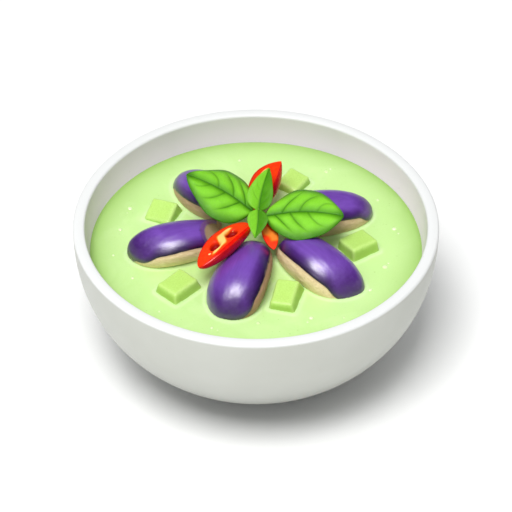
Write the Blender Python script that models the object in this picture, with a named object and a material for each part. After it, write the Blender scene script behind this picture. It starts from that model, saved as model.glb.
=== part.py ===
"""Thai green curry in its bowl, built piece by piece. Metres, +Z up, origin under the middle of the foot.

A thick round bowl holds a pale green curry up to a level below its rim. Five halved aubergines float
in it like petals, with diced vegetables between them, and a basil sprig and halved chillies lie on top.
"""

import math

import bmesh
import bpy
from mathutils import Matrix, Vector

MM = 0.001

# Driving dimensions of the dish
BOWL_RADIUS = 85 * MM
BOWL_HEIGHT = 76 * MM
RIM_WIDTH = 5.5 * MM
CURRY_DEPTH_BELOW_RIM = 15.6 * MM
CURRY_LEVEL = BOWL_HEIGHT - CURRY_DEPTH_BELOW_RIM
FIT_GAP = 0.35 * MM
POCKET_GAP = 0.6 * MM

# The bowl's outside and inside are superellipses, measured down from the rim
OUTER_DROP = 83.5 * MM
OUTER_FALL, OUTER_ROUND = 2.36, 1.73
INNER_DROP = 69 * MM
INNER_FALL, INNER_ROUND = 2.0, 2.0
FOOT_HEIGHT = 4 * MM
FOOT_RADIUS = 37 * MM
FOOT_RING_WIDTH = 4 * MM
FOOT_RECESS = 2.5 * MM
RIM_EDGE_RADIUS = 1.2 * MM
TURNED_SIDES = 54

# Halved aubergines: length, width, rise of the skin, bulge of the flesh, taper, bluntness, bend, dip
# of the cut's edge round the outer end, where the stem end is cut off, and that cut's slant and swing.
# Then where it lies: centre x, y, height over the curry, heading, pitch and roll in degrees, with the
# outer end along the heading.
AUBERGINES = {
    "aubergine_left": (
        (60, 28, 10.5, 8.5, 0.2, 2.3, -5.5, 10, 15, 28, 45),
        (-30.5, 1, 2, 204, 10, 29),
    ),
    "aubergine_front": (
        (54, 30, 13.5, 8.5, 0.18, 2.7, -2.5, 7, 21, 20, 0),
        (-6, -25, 1, 255, 3, 43),
    ),
    "aubergine_front_right": (
        (55, 28, 12.3, 9.5, 0.13, 2.6, 8, 7.5, 15, 20, 0),
        (27, -14.5, 1.5, 309, 3, -37),
    ),
    "aubergine_right": (
        (57, 27, 13, 10.5, 0, 2.0, 0.5, 3, 14, 20, 0),
        (27, 18, 2, 12, 1.5, -29),
    ),
    "aubergine_back_left": (
        (51, 26, 12.5, 9.5, 0.03, 1.8, -2.5, 0, 10, 20, 0),
        (-20.6, 31.9, 1.5, 134, -7, 24),
    ),
}

# Halved chillies: length, width, depth of the pod, sag of its ends, slenderness; then where it
# lies, as above
CHILLIES = {
    "chilli_front": ((35, 13.5, 8.5, 3, 0.6), (-15.4, -17.8, 18.6, 230, -6, 13)),
    "chilli_back": ((30, 16, 9, 2.5, 0.9), (3, 30, 12.5, 23, 56, 6)),
    "chilli_middle": ((20, 7, 4, 1, 0.65), (6.8, -7, 12.3, 283, -12, 0)),
}

ABOVE_THE_CURRY = ("chilli_front", "chilli_middle")

# Diced vegetables: top's sides, height, flare of the sides; then the top's middle and its turn
CUBES = {
    "cube_left": ((13, 11.5, 10, 0.1), (-45, 21.2, 4.5, -25, 4, 24)),
    "cube_front_left": ((14.5, 11.5, 12, 0.25), (-36, -30.5, 5.5, 46, 2, -2)),
    "cube_front_right": ((10, 14.5, 12, 0.25), (13, -38, 6, -14, 3, 10)),
    "cube_right": ((14, 12, 12, 0.1), (47.5, -1.5, 6, 35, -1, -6)),
    "cube_back": ((10.5, 11.5, 12, 0.2), (18, 44, 5, -34, -8, 6)),
}

# Basil leaves: length, width, fold along the midrib, droop, start and fullness of the outline,
# sway of the midrib; then the base, as above
LEAVES = {
    "basil_leaf_left": ((35, 31, -0.2, 1, 0.76, 0.79, -2), (-1.5, 7, 16.5, 161, 24, -4)),
    "basil_leaf_right": ((36, 30.5, -0.15, 3, 0.9, 0.7, 2), (4.5, 1, 18.6, -6, 9, 10)),
    "basil_leaf_back": ((21.5, 12, 0.45, 1, 0.55, 0.78, 0.6), (1, 6, 17.5, 74, 32, 5)),
    "basil_leaf_front": ((14.5, 9.5, 0.45, 1.2, 0.79, 0.92, 0.4), (1, 0.6, 22.4, 264, -19, -1)),
}
LEAF_THICKNESS = 0.9 * MM

STEM_RADIUS, STEM_FOOT, STEM_TOP = 1.3 * MM, 5 * MM, 16 * MM
STEM_SPOT = (1.2 * MM, 5 * MM)

SIDES_ROUND_AUBERGINE, RINGS_ALONG_AUBERGINE = 20, 13
SIDES_ROUND_CHILLI, RINGS_ALONG_CHILLI = 12, 12


def material(name, colour, roughness):
    """A Principled material in the piece's plain colour."""
    made = bpy.data.materials.new(name)
    made.use_nodes = True
    shader = made.node_tree.nodes["Principled BSDF"]
    shader.inputs["Base Color"].default_value = (*colour, 1)
    shader.inputs["Roughness"].default_value = roughness
    shader.inputs["Metallic"].default_value = 0
    return made


def add_object(name, shape, finish):
    """Turns a finished bmesh into a named object with smooth sides and its material."""
    bmesh.ops.recalc_face_normals(shape, faces=shape.faces)
    mesh = bpy.data.meshes.new(name)
    shape.to_mesh(mesh)
    shape.free()
    mesh.shade_smooth()
    mesh.set_sharp_from_angle(angle=math.radians(40))
    made = bpy.data.objects.new(name, mesh)
    bpy.context.collection.objects.link(made)
    if finish:
        mesh.materials.append(finish)
    return made


def place(obj, x, y, over_curry, heading, pitch, roll):
    """Sets an object's centre in millimetres, over the curry's level, and its turn in degrees."""
    obj.location = (x * MM, y * MM, CURRY_LEVEL + over_curry * MM)
    turn = Matrix.Rotation(math.radians(heading), 3, "Z")
    turn = turn @ Matrix.Rotation(math.radians(-pitch), 3, "Y")
    turn = turn @ Matrix.Rotation(math.radians(roll), 3, "X")
    obj.rotation_euler = turn.to_euler()


def turned(name, profile, finish):
    """Spins a profile of (radius, height) points about Z into a closed body."""
    shape = bmesh.new()
    points = [shape.verts.new((radius, 0, height)) for radius, height in profile]
    edges = [shape.edges.new(pair) for pair in zip(points, points[1:])]
    bmesh.ops.spin(
        shape,
        geom=points + edges,
        cent=(0, 0, 0),
        axis=(0, 0, 1),
        angle=2 * math.pi,
        steps=TURNED_SIDES,
        use_merge=True,
    )
    bmesh.ops.remove_doubles(shape, verts=shape.verts, dist=0.01 * MM)
    return add_object(name, shape, finish)


def outer_radius(drop):
    """Radius of the bowl's outside at a drop below the rim."""
    return BOWL_RADIUS * (1 - (drop / OUTER_DROP) ** OUTER_FALL) ** (1 / OUTER_ROUND)


def inner_radius(drop):
    """Radius of the bowl's inside at a drop below the rim."""
    rim = BOWL_RADIUS - RIM_WIDTH
    return rim * (1 - (drop / INNER_DROP) ** INNER_FALL) ** (1 / INNER_ROUND)


def rounded_corner(radius, height, turn_from, steps=2):
    """Points of a quarter circle round a centre, clockwise from an angle in degrees."""
    angles = [math.radians(turn_from - 90 * i / steps) for i in range(steps + 1)]
    return [
        (radius + RIM_EDGE_RADIUS * math.cos(a), height + RIM_EDGE_RADIUS * math.sin(a))
        for a in angles
    ]


def drops(first, last, count):
    """Drops below the rim that crowd together towards the deep end, where the wall curves most."""
    return [
        first + (last - first) * math.sin(math.pi / 2 * i / count) for i in range(count + 1)
    ]


def wetted_drops():
    """Drops from the curry's level to the floor, shared by the bowl's inside and the curry."""
    return drops(CURRY_DEPTH_BELOW_RIM, INNER_DROP, 8)


def make_bowl(finish):
    """The bowl: foot ring, outside, rounded rim and inside, as one turned shell."""
    foot_inner = FOOT_RADIUS - FOOT_RING_WIDTH
    foot = [
        (0, FOOT_RECESS),
        (foot_inner - 1 * MM, FOOT_RECESS),
        (foot_inner, 0),
        (FOOT_RADIUS, 0),
    ]
    body_end = BOWL_HEIGHT - FOOT_HEIGHT
    outside = [
        (outer_radius(d), BOWL_HEIGHT - d) for d in reversed(drops(4 * MM, body_end, 9))
    ]
    edge = BOWL_HEIGHT - RIM_EDGE_RADIUS
    rim = [
        *reversed(rounded_corner(BOWL_RADIUS - RIM_EDGE_RADIUS, edge, 90)),
        *reversed(rounded_corner(BOWL_RADIUS - RIM_WIDTH + RIM_EDGE_RADIUS, edge, 180)),
    ]
    inside = [
        (inner_radius(d), BOWL_HEIGHT - d) for d in (4 * MM, 9 * MM, *wetted_drops())
    ]
    return turned("bowl", foot + outside + rim + inside, finish)


def make_curry(finish):
    """The curry fills the bowl's inside up to its level, a fit gap away from the wall."""
    level, *deeper, floor = wetted_drops()
    wall = [(inner_radius(level) - FIT_GAP, CURRY_LEVEL)]
    wall += [(inner_radius(d) - FIT_GAP, BOWL_HEIGHT - d + FIT_GAP) for d in deeper]
    return turned(
        "curry", [(0, BOWL_HEIGHT - floor + FIT_GAP), *reversed(wall), (0, CURRY_LEVEL)], finish
    )


def aubergine_half(name, form, finish, grow=0):
    """A halved aubergine along X: skin dome above the cut, swollen flesh below, stem end cut off."""
    length, width, rise, bulge, taper, blunt, bend, dip, stem, slant, swing = form
    shape = bmesh.new()
    bmesh.ops.create_uvsphere(
        shape,
        u_segments=SIDES_ROUND_AUBERGINE,
        v_segments=RINGS_ALONG_AUBERGINE,
        radius=1,
        matrix=Matrix.Rotation(math.pi / 2, 4, "Y"),
    )
    for vert in shape.verts:
        along, across, up = vert.co
        ring = max(math.hypot(across, up), 1e-6)
        side, top = across / ring, up / ring
        girth = max(1 - abs(along) ** blunt, 0) ** 0.5 * (1 + taper * along)
        height = rise if top > 0 else bulge
        edge_dip = dip * max(along, 0) ** 2 * side**2 * girth
        vert.co = (
            along * (length / 2 * MM + grow),
            side * girth * (width / 2 * MM + grow) + bend * (along**2 - 1 / 3) * MM,
            top * girth * (height * MM + grow) - edge_dip * MM,
        )
    rise_of_cut, swing_of_cut = math.radians(slant), math.radians(swing)
    inward = Vector((
        -math.cos(rise_of_cut) * math.cos(swing_of_cut),
        math.cos(rise_of_cut) * math.sin(swing_of_cut),
        math.sin(rise_of_cut),
    ))
    cut_off(shape, Vector((-stem * MM, 0, 0)) + inward * grow, inward)
    return add_object(name, shape, finish)


def cut_off(shape, point, outward):
    """Takes away what lies beyond a plane and closes the cut."""
    every = list(shape.verts) + list(shape.edges) + list(shape.faces)
    cut = bmesh.ops.bisect_plane(
        shape, geom=every, plane_co=point, plane_no=outward, clear_outer=True
    )
    edges = [part for part in cut["geom_cut"] if isinstance(part, bmesh.types.BMEdge)]
    bmesh.ops.holes_fill(shape, edges=edges)


def chilli_half(name, form, finish, grow=0):
    """A chilli pod halved lengthwise along X: flat cut face on top, pointed at its +X end."""
    length, width, depth, sag, slender = form
    shape = bmesh.new()
    bmesh.ops.create_uvsphere(
        shape,
        u_segments=SIDES_ROUND_CHILLI,
        v_segments=RINGS_ALONG_CHILLI,
        radius=1,
        matrix=Matrix.Rotation(math.pi / 2, 4, "Y"),
    )
    above = [vert for vert in shape.verts if vert.co.z > 0.001]
    bmesh.ops.delete(shape, geom=above, context="VERTS")
    rim = [edge for edge in shape.edges if edge.is_boundary]
    bmesh.ops.edgeloop_fill(shape, edges=rim)
    for vert in shape.verts:
        along, across, up = vert.co
        ring = max(math.hypot(across, up), 1e-6)
        girth = max(1 - abs(along) ** 1.7, 0) ** slender
        vert.co = (
            along * (length / 2 * MM + 3 * grow),
            across / ring * girth * (width / 2 * MM + grow),
            up / ring * girth * (depth * MM + grow) - sag * (along**2 - 1 / 3) * MM + grow,
        )
    return add_object(name, shape, finish)


def diced_cube(name, form, finish, grow=0):
    """A knife-cut dice with softened edges, its top's middle at the origin, a little flared."""
    long, broad, height, flare = form
    shape = bmesh.new()
    bmesh.ops.create_cube(shape, size=1)
    for vert in shape.verts:
        x, y, z = vert.co
        spread = flare * height * (0.5 - z)
        vert.co = (
            x * (long + 2 * spread) * MM + math.copysign(grow, x),
            y * (broad + 2 * spread) * MM + math.copysign(grow, y),
            (z - 0.5) * height * MM + math.copysign(grow, z),
        )
    bmesh.ops.bevel(
        shape, geom=list(shape.edges), offset=1.2 * MM, segments=1, profile=0.5, affect="EDGES"
    )
    return add_object(name, shape, finish)


def basil_leaf(name, form, finish):
    """A leaf along X from its base, each half arched from the midrib, drooping to its tip."""
    length, width, fold, droop, start, full, sway = form
    shape = bmesh.new()
    bmesh.ops.create_grid(shape, x_segments=12, y_segments=6, size=1)
    for vert in shape.verts:
        along = (vert.co.x + 1) / 2
        across = vert.co.y
        outline = max(math.sin(math.pi * along**start), 0) ** full
        half = width / 2 * max(outline, 0.05)
        vert.co = (
            length * MM * along,
            (across * half + sway * math.sin(math.pi * along)) * MM,
            (abs(across) * half * fold - droop * along**2) * MM,
        )
    leaf = add_object(name, shape, finish)
    solid = leaf.modifiers.new("Leaf thickness", "SOLIDIFY")
    solid.thickness = LEAF_THICKNESS
    solid.offset = 0
    return leaf


def basil_stem(name, finish):
    """The short stalk the leaves spring from."""
    shape = bmesh.new()
    bmesh.ops.create_cone(
        shape,
        cap_ends=True,
        segments=10,
        radius1=STEM_RADIUS,
        radius2=STEM_RADIUS * 0.8,
        depth=STEM_TOP - STEM_FOOT,
    )
    stem = add_object(name, shape, finish)
    stem.location = (*STEM_SPOT, CURRY_LEVEL + (STEM_FOOT + STEM_TOP) / 2)


def cut_pocket(curry, cutter):
    """Takes a floating piece's space, with its fit gap, out of the curry."""
    cutter.hide_render = True
    cutter.display_type = "WIRE"
    pocket = curry.modifiers.new("Pocket of " + cutter.name, "BOOLEAN")
    pocket.operation = "DIFFERENCE"
    pocket.object = cutter


def main():
    for old in list(bpy.data.objects):
        bpy.data.objects.remove(old)

    glaze = material("White glaze", (0.82, 0.82, 0.79), 0.2)
    broth = material("Green coconut curry", (0.69, 0.95, 0.4), 0.35)
    skin = material("Aubergine skin", (0.12, 0.04, 0.25), 0.2)
    red = material("Red chilli", (0.8, 0.03, 0.01), 0.25)
    green = material("Diced green vegetable", (0.5, 0.8, 0.2), 0.4)
    basil = material("Basil leaf", (0.15, 0.5, 0.03), 0.35)

    make_bowl(glaze)
    curry = make_curry(broth)

    floating = (
        (AUBERGINES, aubergine_half, skin),
        (CUBES, diced_cube, green),
        (CHILLIES, chilli_half, red),
    )
    for pieces, make, finish in floating:
        for name, (form, spot) in pieces.items():
            place(make(name, form, finish), *spot)
            if name not in ABOVE_THE_CURRY:
                cutter = make(name + "_space", form, None, grow=POCKET_GAP)
                place(cutter, *spot)
                cut_pocket(curry, cutter)

    for name, (form, spot) in LEAVES.items():
        place(basil_leaf(name, form, basil), *spot)
    basil_stem("basil_stem", basil)


main()
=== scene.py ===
# %% [markdown]
# # A Thai green curry in its bowl
# A deep round bowl holds pale green coconut curry. Five halved aubergines float in it like petals, cubes
# of green vegetable stand between them, and halved red chillies and a basil sprig lie on top.
# The dish was first made as plain solids. They are loaded here as a fixed frame, and each one is then
# replaced by a finely shaped piece with its own finish, set where its solid is. No solid is moved.

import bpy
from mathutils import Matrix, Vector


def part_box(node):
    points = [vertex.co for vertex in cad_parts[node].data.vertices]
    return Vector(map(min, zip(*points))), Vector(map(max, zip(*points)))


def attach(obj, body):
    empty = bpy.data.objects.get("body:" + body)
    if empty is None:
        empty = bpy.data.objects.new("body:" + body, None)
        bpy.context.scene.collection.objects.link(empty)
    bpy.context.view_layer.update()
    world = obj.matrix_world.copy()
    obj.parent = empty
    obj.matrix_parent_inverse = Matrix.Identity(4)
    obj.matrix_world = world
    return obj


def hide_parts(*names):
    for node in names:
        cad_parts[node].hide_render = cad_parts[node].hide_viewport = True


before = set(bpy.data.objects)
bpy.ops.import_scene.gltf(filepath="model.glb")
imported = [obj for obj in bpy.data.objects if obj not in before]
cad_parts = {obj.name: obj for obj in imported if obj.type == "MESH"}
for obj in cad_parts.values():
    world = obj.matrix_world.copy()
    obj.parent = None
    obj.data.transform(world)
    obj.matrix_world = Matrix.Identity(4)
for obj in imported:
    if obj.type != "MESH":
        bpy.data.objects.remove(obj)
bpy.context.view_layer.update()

# %% Bring in the tools
import math

import bmesh
import bpy
from mathutils import Matrix, Vector, noise
from mathutils.bvhtree import BVHTree

MM = 0.001
BOWL_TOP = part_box("bowl")[1].z
BOWL_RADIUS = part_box("bowl")[1].x
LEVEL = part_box("curry")[1].z
print("rim at", round(BOWL_TOP / MM, 1), "mm, curry at", round(LEVEL / MM, 1), "mm")

# %% [markdown]
# ## Finishes as arithmetic
# A finish is a recipe of noises and masks mixed together. Written as nodes it soon becomes a tangle, so a
# small class wraps one socket and lets it take part in ordinary arithmetic: `1 - mask * 0.5` adds its Math
# nodes by itself. Colours go through a Mix node, because a Math node would turn them grey.

# %% A socket that does arithmetic
class Flow:
    """One output socket. Each operator adds a Math node and gives that node's result."""

    def __init__(self, tree, socket):
        self.tree, self.socket = tree, socket

    def maths(self, operation, *values, clamp=False):
        node = self.tree.nodes.new("ShaderNodeMath")
        node.operation = operation
        node.use_clamp = clamp
        for socket, value in zip(node.inputs, values):
            if isinstance(value, Flow):
                self.tree.links.new(value.socket, socket)
            else:
                socket.default_value = value
        return Flow(self.tree, node.outputs[0])

    def __add__(self, other):
        return self.maths("ADD", self, other)

    __radd__ = __add__

    def __sub__(self, other):
        return self.maths("SUBTRACT", self, other)

    def __rsub__(self, other):
        return self.maths("SUBTRACT", other, self)

    def __mul__(self, other):
        return self.maths("MULTIPLY", self, other)

    __rmul__ = __mul__

    def __truediv__(self, other):
        return self.maths("DIVIDE", self, other)

    def __pow__(self, other):
        return self.maths("POWER", self, other)

    def held(self, low, high):
        """0 below low, 1 above high, and an even climb between."""
        return self.maths("MULTIPLY", self - low, 1 / (high - low), clamp=True)


# %% A finish and its one way to add nodes
class Finish:
    """A Principled material whose recipe is built with add() and Flow arithmetic."""

    def __init__(self, name, **fixed):
        self.material = bpy.data.materials.new(name)
        self.material.use_nodes = True
        self.tree = self.material.node_tree
        self.shader = self.tree.nodes["Principled BSDF"]
        for socket, value in fixed.items():
            self.shader.inputs[socket.replace("_", " ")].default_value = value

    def add(self, kind, settings=None, sockets=None, out=0):
        """Adds a node: its settings first, then the values or links of its sockets."""
        node = self.tree.nodes.new(kind)
        for key, value in (settings or {}).items():
            setattr(node, key, value)
        for key, value in (sockets or {}).items():
            if isinstance(value, Flow):
                self.tree.links.new(value.socket, node.inputs[key])
            else:
                node.inputs[key].default_value = value
        return Flow(self.tree, node.outputs[out])

    def mix(self, share, first, second):
        """Blends two colours by a share from 0 to 1."""
        settings = {"data_type": "RGBA", "clamp_factor": True}
        return self.add("ShaderNodeMix", settings, {0: share, 6: first, 7: second}, out=2)

    def mark(self, name):
        """A number written on the piece's own points."""
        return self.add("ShaderNodeAttribute", {"attribute_name": name}, out=2)

    def own_place(self):
        """The place on the piece before it was laid in the bowl, in millimetres."""
        return self.add("ShaderNodeAttribute", {"attribute_name": "own"}, out=1)

    def place(self):
        """The place in the whole dish, in metres."""
        return self.add("ShaderNodeTexCoord", out=3)

    def stretched(self, place, scale):
        """The same place with each axis scaled, to draw a pattern out along one of them."""
        return self.add("ShaderNodeMapping", sockets={"Vector": place, "Scale": scale})

    def cloud(self, place, scale, detail=3.0, rough=0.5, swirl=0.0):
        """Soft noise about 0.5."""
        sockets = {"Vector": place, "Scale": scale, "Detail": detail, "Roughness": rough}
        return self.add("ShaderNodeTexNoise", sockets={**sockets, "Distortion": swirl})

    def cells(self, place, scale, feature="F1"):
        """Distance to the nearest scattered point, in cells."""
        sockets = {"Vector": place, "Scale": scale}
        return self.add("ShaderNodeTexVoronoi", {"feature": feature}, sockets)

    def parts(self, place):
        """The three numbers of a place."""
        node = self.tree.nodes.new("ShaderNodeSeparateXYZ")
        self.tree.links.new(place.socket, node.inputs[0])
        return [Flow(self.tree, socket) for socket in node.outputs]

    def set(self, socket, value):
        """Feeds one of the shader's own sockets."""
        self.tree.links.new(value.socket, self.shader.inputs[socket])

    def relief(self, height, depth):
        """Fine relief: height from 0 to 1 stands for that depth in metres."""
        bump = self.add("ShaderNodeBump", sockets={"Strength": 1.0, "Distance": depth, "Height": height})
        self.set("Normal", bump)


def paint(red, green, blue):
    """A colour as it is named on a screen, from 0 to 255, turned into the light it sends back."""
    def lit(part):
        part /= 255
        return part / 12.92 if part <= 0.04045 else ((part + 0.055) / 1.055) ** 2.4
    return (lit(red), lit(green), lit(blue), 1.0)


print("a mid grey sends back", round(paint(128, 128, 128)[0], 3), "of the light")

# %% [markdown]
# ## The camera
# The dish is looked down on from about forty degrees, from a good distance through a long lens, so the rim
# is a calm oval and the far side isn't much smaller than the near one.

# %% Camera
AIM = Vector((0, 0, 54.75 * MM))
LOOK_DOWN = math.radians(41.04)
AWAY = 1.3
bpy.ops.object.camera_add(
    location=AIM + AWAY * Vector((0, -math.cos(LOOK_DOWN), math.sin(LOOK_DOWN))),
    rotation=(math.pi / 2 - LOOK_DOWN, 0, 0),
)
camera = bpy.context.object
camera.data.lens = 194.8
camera.data.sensor_width = 36
camera.data.clip_end = 20
bpy.context.scene.camera = camera
print("camera at", tuple(round(part, 3) for part in camera.location))

# %% [markdown]
# ## Table and light
# A studio table is a wide pale board, and studio light is broad. One large soft lamp hangs overhead, a
# little to the front and left, and makes the long gentle highlights on the aubergine skins. A weak one in
# front fills the near side. Small lamps would leave hard spots and deep shadows. The white room does the
# rest: it gives less light from its sides, so that round things look round, and it is kept out of the
# reflections, as a photographer does with black cards, so that dark skin stays dark along its edges.

# %% A pale table
table_finish = Finish("pale_table", Roughness=0.7)
table_grain = table_finish.cloud(table_finish.place(), 40, 4)
table_finish.set("Base Color", table_finish.mix(table_grain, paint(251, 251, 250), paint(254, 254, 253)))
bpy.ops.object.select_all(action="DESELECT")
bpy.ops.mesh.primitive_plane_add(size=8, location=(0, 0, 0))
table = bpy.context.object
table.name = "table"
bpy.ops.object.transform_apply(location=True)
table.data.materials.append(table_finish.material)

# %% Soft lamps
def soft_lamp(name, size, power, at, toward):
    """A square lamp that faces a point."""
    bpy.ops.object.light_add(type="AREA", location=at)
    lamp = bpy.context.object
    lamp.name = name
    lamp.data.size = size
    lamp.data.energy = power
    lamp.rotation_euler = (Vector(toward) - Vector(at)).to_track_quat("-Z", "Y").to_euler()
    print(name, power, "W,", size, "m wide")


soft_lamp("overhead_lamp", 1.0, 46.0, (-0.3, -0.85, 2.15), AIM)
soft_lamp("front_lamp", 0.9, 0.6, (-0.35, -1.3, 0.8), AIM)

# %% A white room, dimmer at its sides
ROOM_LIGHT, SIDE_LOSS, RIGHT_LOSS = 0.57, 0.42, 0.1
room = bpy.data.worlds.new("white_room")
room.use_nodes = True
walls = room.node_tree.nodes["Background"]
walls.inputs["Color"].default_value = (0.97, 0.985, 1.0, 1)
facing = room.node_tree.nodes.new("ShaderNodeTexCoord")
split = room.node_tree.nodes.new("ShaderNodeSeparateXYZ")
room.node_tree.links.new(facing.outputs["Generated"], split.inputs[0])
aside = Flow(room.node_tree, split.outputs[0])
room_strength = ROOM_LIGHT - (aside * aside) * SIDE_LOSS - aside * RIGHT_LOSS
room.node_tree.links.new(room_strength.socket, walls.inputs["Strength"])
room.cycles_visibility.glossy = False
bpy.context.scene.world = room
bpy.context.scene.view_settings.view_transform = "Standard"
bpy.context.scene.view_settings.look = "None"
print("room light", ROOM_LIGHT, "in front,", round(ROOM_LIGHT - SIDE_LOSS - RIGHT_LOSS, 2), "at the right")

# %% [markdown]
# ## Hands for shaping
# A few small helpers do what hands do over and over: take one piece and leave all others alone, pick the
# parts of it that lie in one place, press all its points by one rule, push them out along their normals,
# write numbers on them for the finish to read, and lay the piece in the bowl. After that its place is in
# its mesh and its object is at the origin.

# %% Helpers that take, pick and press
def take(piece):
    """Leaves everything else alone and takes one piece in hand."""
    if bpy.context.mode != "OBJECT":
        bpy.ops.object.mode_set(mode="OBJECT")
    bpy.ops.object.select_all(action="DESELECT")
    piece.select_set(True)
    bpy.context.view_layer.objects.active = piece


def call_it(name):
    """Names the primitive that was just added, and takes it in hand."""
    piece = bpy.context.object
    piece.name = piece.data.name = name
    take(piece)
    bpy.ops.object.transform_apply(location=True, rotation=True, scale=True)
    return piece


def pick_points(piece, test):
    """In edit mode, selects the points that pass a test of their place."""
    bpy.ops.mesh.select_mode(type="VERT")
    bpy.ops.mesh.select_all(action="DESELECT")
    shape = bmesh.from_edit_mesh(piece.data)
    for point in shape.verts:
        point.select_set(test(point.co))
    shape.select_flush_mode()
    bmesh.update_edit_mesh(piece.data)


def pick_faces(piece, test):
    """In edit mode, selects the faces that pass a test of the face."""
    bpy.ops.mesh.select_mode(type="FACE")
    bpy.ops.mesh.select_all(action="DESELECT")
    shape = bmesh.from_edit_mesh(piece.data)
    for face in shape.faces:
        face.select_set(bool(test(face)))
    bmesh.update_edit_mesh(piece.data)
    return sum(face.select for face in shape.faces)


def press(piece, rule):
    """Moves every point to where a rule sends it."""
    for point in piece.data.vertices:
        point.co = rule(point.co.copy())
    piece.data.update()


def bump_between(value, low, high):
    """A smooth climb from 0 to 1 as the value goes from low to high."""
    share = min(max((value - low) / (high - low), 0), 1)
    return share * share * (3 - 2 * share)


# %% Helpers that write, push out, copy, join and lay
def write(piece, name, values):
    """Writes one number on every point."""
    piece.data.attributes.new(name, "FLOAT", "POINT")
    piece.data.attributes[name].data.foreach_set("value", values)


def read(piece, name):
    """Reads those numbers back."""
    values = [0.0] * len(piece.data.vertices)
    piece.data.attributes[name].data.foreach_get("value", values)
    return values


def write_own_place(piece):
    """Remembers each point's place on the piece itself, in millimetres."""
    piece.data.attributes.new("own", "FLOAT_VECTOR", "POINT")
    flat = [part / MM for point in piece.data.vertices for part in point.co]
    piece.data.attributes["own"].data.foreach_set("vector", flat)


def push_out(piece, lifts):
    """Moves every point along its own normal, each by its own number of millimetres."""
    moved = [point.co + point.normal * lift * MM for point, lift in zip(piece.data.vertices, lifts)]
    for point, at in zip(piece.data.vertices, moved):
        point.co = at
    piece.data.update()


def copy_of(model, at, size, turned=(0, 0, 0)):
    """A copy with its own mesh, scaled, turned and set in its place."""
    take(model)
    bpy.ops.object.duplicate(linked=False)
    piece = bpy.context.object
    piece.location, piece.rotation_euler, piece.scale = at, turned, (size, size, size)
    bpy.ops.object.transform_apply(location=True, rotation=True, scale=True)
    return piece


def clear_away(model):
    """Removes a model that has been copied."""
    take(model)
    bpy.ops.object.delete()


def join(pieces, name):
    """Makes one piece of several and names it."""
    for piece in pieces:
        piece.select_set(True)
    bpy.context.view_layer.objects.active = pieces[0]
    bpy.ops.object.join()
    return call_it(name)


def smooth_out(piece, levels, kind="CATMULL_CLARK"):
    """Subdivides the surface and applies it."""
    take(piece)
    bpy.ops.object.modifier_add(type="SUBSURF")
    finer = piece.modifiers[-1]
    finer.subdivision_type = kind
    finer.levels = finer.render_levels = levels
    bpy.ops.object.modifier_apply(modifier=finer.name)


def lay(piece, x, y, over, heading, pitch, roll):
    """Turns a piece in degrees and sets it over the curry's level, in millimetres."""
    take(piece)
    piece.rotation_euler = (math.radians(roll), math.radians(-pitch), math.radians(heading))
    piece.location = (x * MM, y * MM, LEVEL + over * MM)
    bpy.ops.object.transform_apply(location=True, rotation=True, scale=True)


def serve(piece, slot, *nodes):
    """Makes a finished piece part of the dish, in place of its plain solids."""
    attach(piece, "root")
    if nodes:
        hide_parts(*nodes)
    low = Vector(map(min, *[tuple(point.co) for point in piece.data.vertices]))
    high = Vector(map(max, *[tuple(point.co) for point in piece.data.vertices]))
    size = " x ".join(f"{part / MM:.1f}" for part in high - low)
    print(piece.name, size, "mm,", len(piece.data.polygons), "faces")


# %% [markdown]
# ## The bowl
# A stoneware bowl is thrown on a wheel: the clay is opened and pulled up ring by ring, and the rim is
# rounded with a wet finger. The same is done here. One small disc under the foot is extruded again and
# again, and each new ring is widened or narrowed to follow the wall. A wheel has no corners, so 384 sides
# are used, enough for a rim that stays round in any view. The foot ring is a ring that the bowl stands on.

# %% The bowl's wall as two curves
SIDES = 384
RIM_WIDTH = 5.5 * MM
RIM_ROUND = 1.2 * MM
OUTSIDE_DEEP, INSIDE_DEEP = 83.5 * MM, 69 * MM
FLOOR_DROP = 68.9 * MM


def outside_at(drop):
    """Radius of the outside at a drop below the rim."""
    return BOWL_RADIUS * (1 - (drop / OUTSIDE_DEEP) ** 2.36) ** (1 / 1.73)


def inside_at(drop):
    """Radius of the inside at a drop below the rim."""
    return (BOWL_RADIUS - RIM_WIDTH) * max(1 - (drop / INSIDE_DEEP) ** 2, 0) ** 0.5


def crowded(first, last, count):
    """Steps from first to last that crowd together towards the last."""
    return [first + (last - first) * math.sin(math.pi / 2 * i / count) for i in range(count + 1)]


def rounding(radius, height, size, start, end, steps):
    """Points round a corner's centre, between two angles in degrees."""
    angles = [math.radians(start + (end - start) * i / steps) for i in range(steps + 1)]
    return [(radius + size * math.cos(a), height + size * math.sin(a)) for a in angles]


# %% Rings from the foot to the rim and down inside
def bowl_rings():
    """(radius, height) of every ring, in the order they are pulled."""
    foot = [(6, 2.5), (18, 2.5), (28, 2.5), (31.4, 2.5), (32.2, 2.3), (32.7, 1.8), (32.9, 0.9)]
    foot += [(33.2, 0.3), (33.8, 0.0), (35.2, 0.0), (36.4, 0.0), (37.0, 0.3), (37.3, 0.9)]
    foot += [(37.7, 2.0), (38.3, 2.9), (39.6, 3.5)]
    rings = [(radius * MM, height * MM) for radius, height in foot]
    rings += [(outside_at(d), BOWL_TOP - d) for d in reversed(crowded(4 * MM, 72 * MM, 34))]
    rings += rounding(BOWL_RADIUS - RIM_ROUND, BOWL_TOP - RIM_ROUND, RIM_ROUND, 0, 90, 6)
    middle = BOWL_RADIUS - RIM_WIDTH / 2
    rings += [(middle + step * 0.7 * MM, BOWL_TOP + 0.12 * MM) for step in (1, 0, -1)]
    inner = BOWL_RADIUS - RIM_WIDTH + RIM_ROUND
    rings += rounding(inner, BOWL_TOP - RIM_ROUND, RIM_ROUND, 90, 180, 6)
    rings += [(inside_at(d), BOWL_TOP - d) for d in crowded(2.5 * MM, FLOOR_DROP, 36)]
    return rings


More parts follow.
